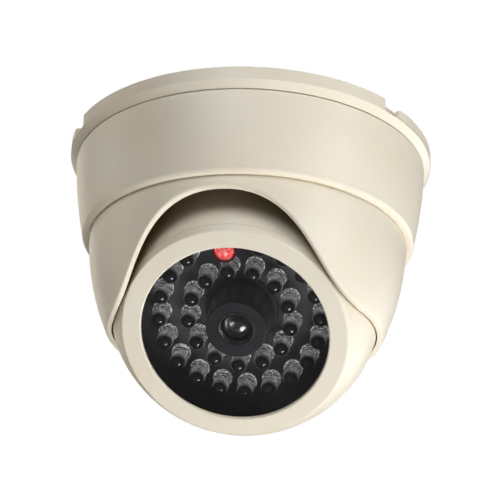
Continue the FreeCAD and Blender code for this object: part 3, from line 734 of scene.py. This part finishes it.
def lamp_profile(base):
    """Outline of a 5 mm lamp: rounded flange, straight body, domed tip."""
    soft = 0.15
    brow = 0.2
    fillet_in, fillet_up = 0.1, 0.12
    body_steps = 4
    dome_steps = 9
    shoulder = base + LAMP_HEIGHT - LAMP_RADIUS
    flange = base + LAMP_FLANGE
    points = [(0, base), (LAMP_FLANGE_RADIUS - soft, base), (LAMP_FLANGE_RADIUS, base + soft),
              (LAMP_FLANGE_RADIUS, flange - brow), (LAMP_FLANGE_RADIUS - soft, flange),
              (LAMP_RADIUS + fillet_in, flange), (LAMP_RADIUS, flange + fillet_up)]
    for k in range(1, body_steps + 1):
        points.append((LAMP_RADIUS, flange + (shoulder - flange) * k / body_steps))
    for k in range(1, dome_steps):
        angle = math.pi / 2 * k / dome_steps
        points.append((LAMP_RADIUS * math.cos(angle), shoulder + LAMP_RADIUS * math.sin(angle)))
    points.append((0, shoulder + LAMP_RADIUS))
    return points


def lamp_ring(name, radius, angles, node):
    """One ring of lamp bodies, in place of the CAD's."""
    mesh = bmesh.new()
    for angle in angles:
        centre = (radius * math.cos(angle), radius * math.sin(angle))
        turn_profile(mesh, lamp_profile(LAMP_BASE), centre)
    piece = finish_piece(name, mesh, MATERIALS["epoxy"], "eye", eye_matrix())
    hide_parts(node)


def lead_frame():
    """Two plated posts beside a lamp's axis, with a small reflector cup between them."""
    foot = LAMP_BASE + 0.1
    cup = LAMP_BASE + 4.2
    half_thickness = 0.25
    posts = bmesh.new()
    for left, right, top in ((-1.55, -1.0, cup + 0.6), (1.0, 1.5, cup - 0.7)):
        add_box(posts, (left, -half_thickness, foot), (right, half_thickness, top))
    under, rim, throat = cup - 1.0, cup + 0.7, cup + 0.15
    cup_profile = [(0, under), (0.45, under), (0.95, cup), (1.0, rim), (0.88, rim),
                   (0.45, throat), (0, throat)]
    turn_profile(posts, cup_profile, centre=(0.15, 0), segments=16)
    return posts


def lead_frames():
    """A lead frame inside every lamp of both rings."""
    mesh = bmesh.new()
    places = [(OUTER_RING, a) for a in outer_places()] + [(INNER_RING, a) for a in inner_places()]
    for ring, angle in places:
        part = lead_frame()
        part.transform(Matrix.Translation((ring * math.cos(angle), ring * math.sin(angle), 0))
                       @ Matrix.Rotation(angle, 4, "Z"))
        merge(mesh, part)
    piece = finish_piece("lamp_lead_frames", mesh, MATERIALS["solder"], "eye",
                         eye_matrix())
    piece.data.shade_flat()


# ---- lens ---------------------------------------------------------------------------
def turned_piece(name, profile, finish, segments):
    """Piece lathed about the gaze, which rides the eye."""
    mesh = bmesh.new()
    turn_profile(mesh, profile, segments=segments)
    return finish_piece(name, mesh, MATERIALS[finish], "eye", eye_matrix())


def lens_glass():
    """Plano-convex front glass: a spherical cap on a short cylinder."""
    steps = 10
    rise = LENS_TOP - LENS_EDGE
    cap = (LENS_RADIUS ** 2 + rise ** 2) / (2 * rise)
    reach = math.asin(LENS_RADIUS / cap)
    profile = [(0, LENS_BACK), (LENS_RADIUS, LENS_BACK), (LENS_RADIUS, LENS_EDGE)]
    for k in range(1, steps):
        angle = reach * (1 - k / steps)
        profile.append((cap * math.sin(angle), LENS_TOP - cap + cap * math.cos(angle)))
    profile.append((0, LENS_TOP))
    glass = turned_piece("lens_glass", profile, "lens", 48)
    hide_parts("lens_element")


def lens_iris():
    """Four metal steps that narrow down from the glass to the pupil."""
    hole = 2.0
    first_radius, first_height = 4.35, 17.45
    narrowing, drop = 0.55, 0.2
    ledge = 0.4
    bevel_in, bevel_down = 0.12, 0.08
    profile = [(LENS_RADIUS, LENS_FLOOR)]
    for k in range(4):
        outer, height = first_radius - narrowing * k, first_height - drop * k
        inner = outer - ledge
        profile += [(outer, height), (inner, height), (inner - bevel_in, height - bevel_down)]
    profile += [(hole, LENS_FLOOR + 0.05), (hole, LENS_FLOOR), (LENS_RADIUS, LENS_FLOOR)]
    turned_piece("lens_iris", profile, "iris", 48)


def lens_pupil():
    """Small dark rear lens in the iris's hole."""
    foot = LENS_FLOOR + 0.01
    radius = 1.95
    profile = [(0, foot), (radius, foot), (radius, 16.85), (1.6, 17.1), (0.9, 17.3), (0, 17.36)]
    turned_piece("lens_pupil", profile, "gloss_black", 32)


def lens_trim_ring():
    """Flared ring over the barrel's mouth."""
    inner, outer = 4.78, 5.66
    lip = BARREL_FRONT + 0.06
    profile = [(inner, 19.6), (4.95, 19.9), (outer, 20.5), (outer, BARREL_FRONT),
               (outer - 0.1, lip), (4.9, lip), (inner, 20.55), (inner, 19.6)]
    trim = turned_piece("lens_trim_ring", profile, "black", 64)
    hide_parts("lens_ring")


def lens_sleeve():
    """Thin bright sleeve with three widening threads, between the glass and the trim ring."""
    wall, foot, top = 4.76, 18.6, 20.5
    first_radius, first_height = 4.5, 19.0
    widening, pitch = 0.09, 0.55
    land = 0.4
    profile = [(wall, foot)]
    for k in range(3):
        radius, height = first_radius + widening * k, first_height + pitch * k
        profile += [(radius, height - land), (radius, height), (radius + 0.06, height + 0.1)]
    profile += [(wall, top), (wall, foot)]
    turned_piece("lens_sleeve", profile, "lens_sleeve", 64)


# ---- wires --------------------------------------------------------------------------
def power_wires():
    """Red and black slack wires from the cell tray to the back of the eye."""
    back = -GAZE
    tray = Vector((0, 5.15, -16.2)) * MM
    socket = EYE_CENTRE + back * 14.1 * MM
    sag = Vector((0, -4.5, -6.0)) * MM
    half_spacing = 0.75
    spread_at_tray = 2.5
    wire_radius = 0.6
    steps = 20
    wires = (("power_wire_black", "black_lead", -half_spacing),
             ("power_wire_red", "red_lead", half_spacing))
    for name, finish, x in wires:
        start = tray + Vector((spread_at_tray * x, 0, 0)) * MM
        end = socket + Vector((x, 0, 0)) * MM
        path = bezier(start, start + sag, end + back * 9.0 * MM, end + back * 1.5 * MM, steps)
        path.append(end)
        mesh = bmesh.new()
        sweep(mesh, path, wire_radius * MM)
        wire = finish_piece(name, mesh, MATERIALS[finish], None)
        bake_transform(wire)
        if finish == "black_lead":
            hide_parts("power_leads")


# ---- stage --------------------------------------------------------------------------
# In metres, with the lights in watts.
FLOOR_RADIUS = 8.0
FLOOR_Z = -1.6
LIGHT_AIM = Vector((0, 0, -0.04))
LIGHT_DISTANCE = 0.75
LIGHT_SIZE = 0.4
WHITE_LIGHT = (0.97, 1.0, 1.06)
WARM_LIGHT = (1.0, 0.96, 0.88)


def floor_paint():
    """Pale matt floor that the camera sees as a light, even grey."""
    s = Shader("floor")
    shade = s.mix(s.spread(s.noise(3.0)), tone(238, 238, 236), tone(234, 234, 232))
    return s.done(s.principled(
        Base_Color=shade, Roughness=0.8, Emission_Color=shade,
        Emission_Strength=s.by_ray(seen=0.8, cast=0.1)))


def floor():
    """Round plain floor, well below the object."""
    mesh = bmesh.new()
    bmesh.ops.create_circle(mesh, cap_ends=True, segments=96, radius=FLOOR_RADIUS,
                            matrix=Matrix.Translation((0, 0, FLOOR_Z)))
    data = bpy.data.meshes.new("floor")
    mesh.to_mesh(data)
    mesh.free()
    piece = bpy.data.objects.new("floor", data)
    bpy.context.scene.collection.objects.link(piece)
    data.materials.append(floor_paint())


def area_light(name, direction, power, colour):
    """Round soft box that shines on the object from one direction."""
    data = bpy.data.lights.new(name, "AREA")
    data.shape = "DISK"
    data.size = LIGHT_SIZE
    data.energy = power
    data.color = colour
    lamp = bpy.data.objects.new(name, data)
    lamp.location = LIGHT_AIM + Vector(direction).normalized() * LIGHT_DISTANCE
    lamp.rotation_euler = (LIGHT_AIM - lamp.location).to_track_quat("-Z", "Y").to_euler()
    bpy.context.scene.collection.objects.link(lamp)
    return lamp


def lighting():
    """Soft boxes by bearing from the front (towards +X), height angle, power and colour."""
    boxes = {
        "key": (65, 8, 2.4, WHITE_LIGHT),
        "under_right": (75, -68, 2.9, WHITE_LIGHT),
        "low_right": (95, -40, 0.9, WHITE_LIGHT),
        "front_high": (-5, 28, 2.6, WHITE_LIGHT),
        "front_right": (35, 30, 0.4, WHITE_LIGHT),
        "left": (-90, 15, 1.2, WARM_LIGHT),
        "back_left": (-135, 20, 0.9, WARM_LIGHT),
        "back_right": (135, -10, 1.5, WHITE_LIGHT),
        "under": (0, -85, 1.9, WHITE_LIGHT),
        "top": (150, 70, 2.0, WHITE_LIGHT),
    }
    for name, (bearing, height, power, colour) in boxes.items():
        around, up = math.radians(bearing), math.radians(height)
        direction = (math.sin(around) * math.cos(up), -math.cos(around) * math.cos(up),
                     math.sin(up))
        box = area_light(name, direction, power, colour)
        box.visible_glossy = name != "under"


def studio_world():
    """White backdrop for the camera, with a weak grey light from all sides."""
    world = bpy.data.worlds.new("studio")
    bpy.context.scene.world = world
    world.use_nodes = True
    tree = world.node_tree
    tree.nodes.clear()
    backdrop = tree.nodes.new("ShaderNodeBackground")
    backdrop.inputs["Color"].default_value = WHITE
    ambient = tree.nodes.new("ShaderNodeBackground")
    ambient.inputs["Color"].default_value = (0.05, 0.05, 0.05, 1)
    path = tree.nodes.new("ShaderNodeLightPath")
    mix = tree.nodes.new("ShaderNodeMixShader")
    output = tree.nodes.new("ShaderNodeOutputWorld")
    tree.links.new(path.outputs["Is Camera Ray"], mix.inputs[0])
    tree.links.new(ambient.outputs[0], mix.inputs[1])
    tree.links.new(backdrop.outputs[0], mix.inputs[2])
    tree.links.new(mix.outputs[0], output.inputs[0])


def camera():
    """Below the object and a little to its right, looking up, slightly rolled."""
    target = Vector((0.8, 0.0, -32.2)) * MM
    distance = 733 * MM
    azimuth, elevation, roll = (math.radians(v) for v in (10.7, -25.3, 2.1))
    back = Vector((math.sin(azimuth) * math.cos(elevation),
                   -math.cos(azimuth) * math.cos(elevation), math.sin(elevation)))
    right = Vector((math.cos(azimuth), math.sin(azimuth), 0))
    up = back.cross(right)
    rolled_right = right * math.cos(roll) + up * math.sin(roll)
    rolled_up = up * math.cos(roll) - right * math.sin(roll)
    data = bpy.data.cameras.new("camera")
    data.lens = 175
    data.sensor_width = 36
    data.clip_start = 0.01
    view = bpy.data.objects.new("camera", data)
    turn = Matrix((rolled_right, rolled_up, back)).transposed().to_4x4()
    view.matrix_world = Matrix.Translation(target + back * distance) @ turn
    bpy.context.scene.collection.objects.link(view)
    bpy.context.scene.camera = view


def tone_curve():
    """Standard display colours, with a gamma that deepens the shadows."""
    bpy.context.scene.view_settings.view_transform = "Standard"
    bpy.context.scene.view_settings.gamma = 0.77


# ---- build --------------------------------------------------------------------------
paint_nodes()
hood_skin()
lamp_ring("outer_lamps", OUTER_RING, outer_places(), "outer_leds")
lamp_ring("inner_lamps", INNER_RING, inner_places(), "inner_leds")
lead_frames()
lens_glass()
lens_iris()
lens_pupil()
lens_trim_ring()
lens_sleeve()
power_wires()
floor()
lighting()
studio_world()
camera()
tone_curve()
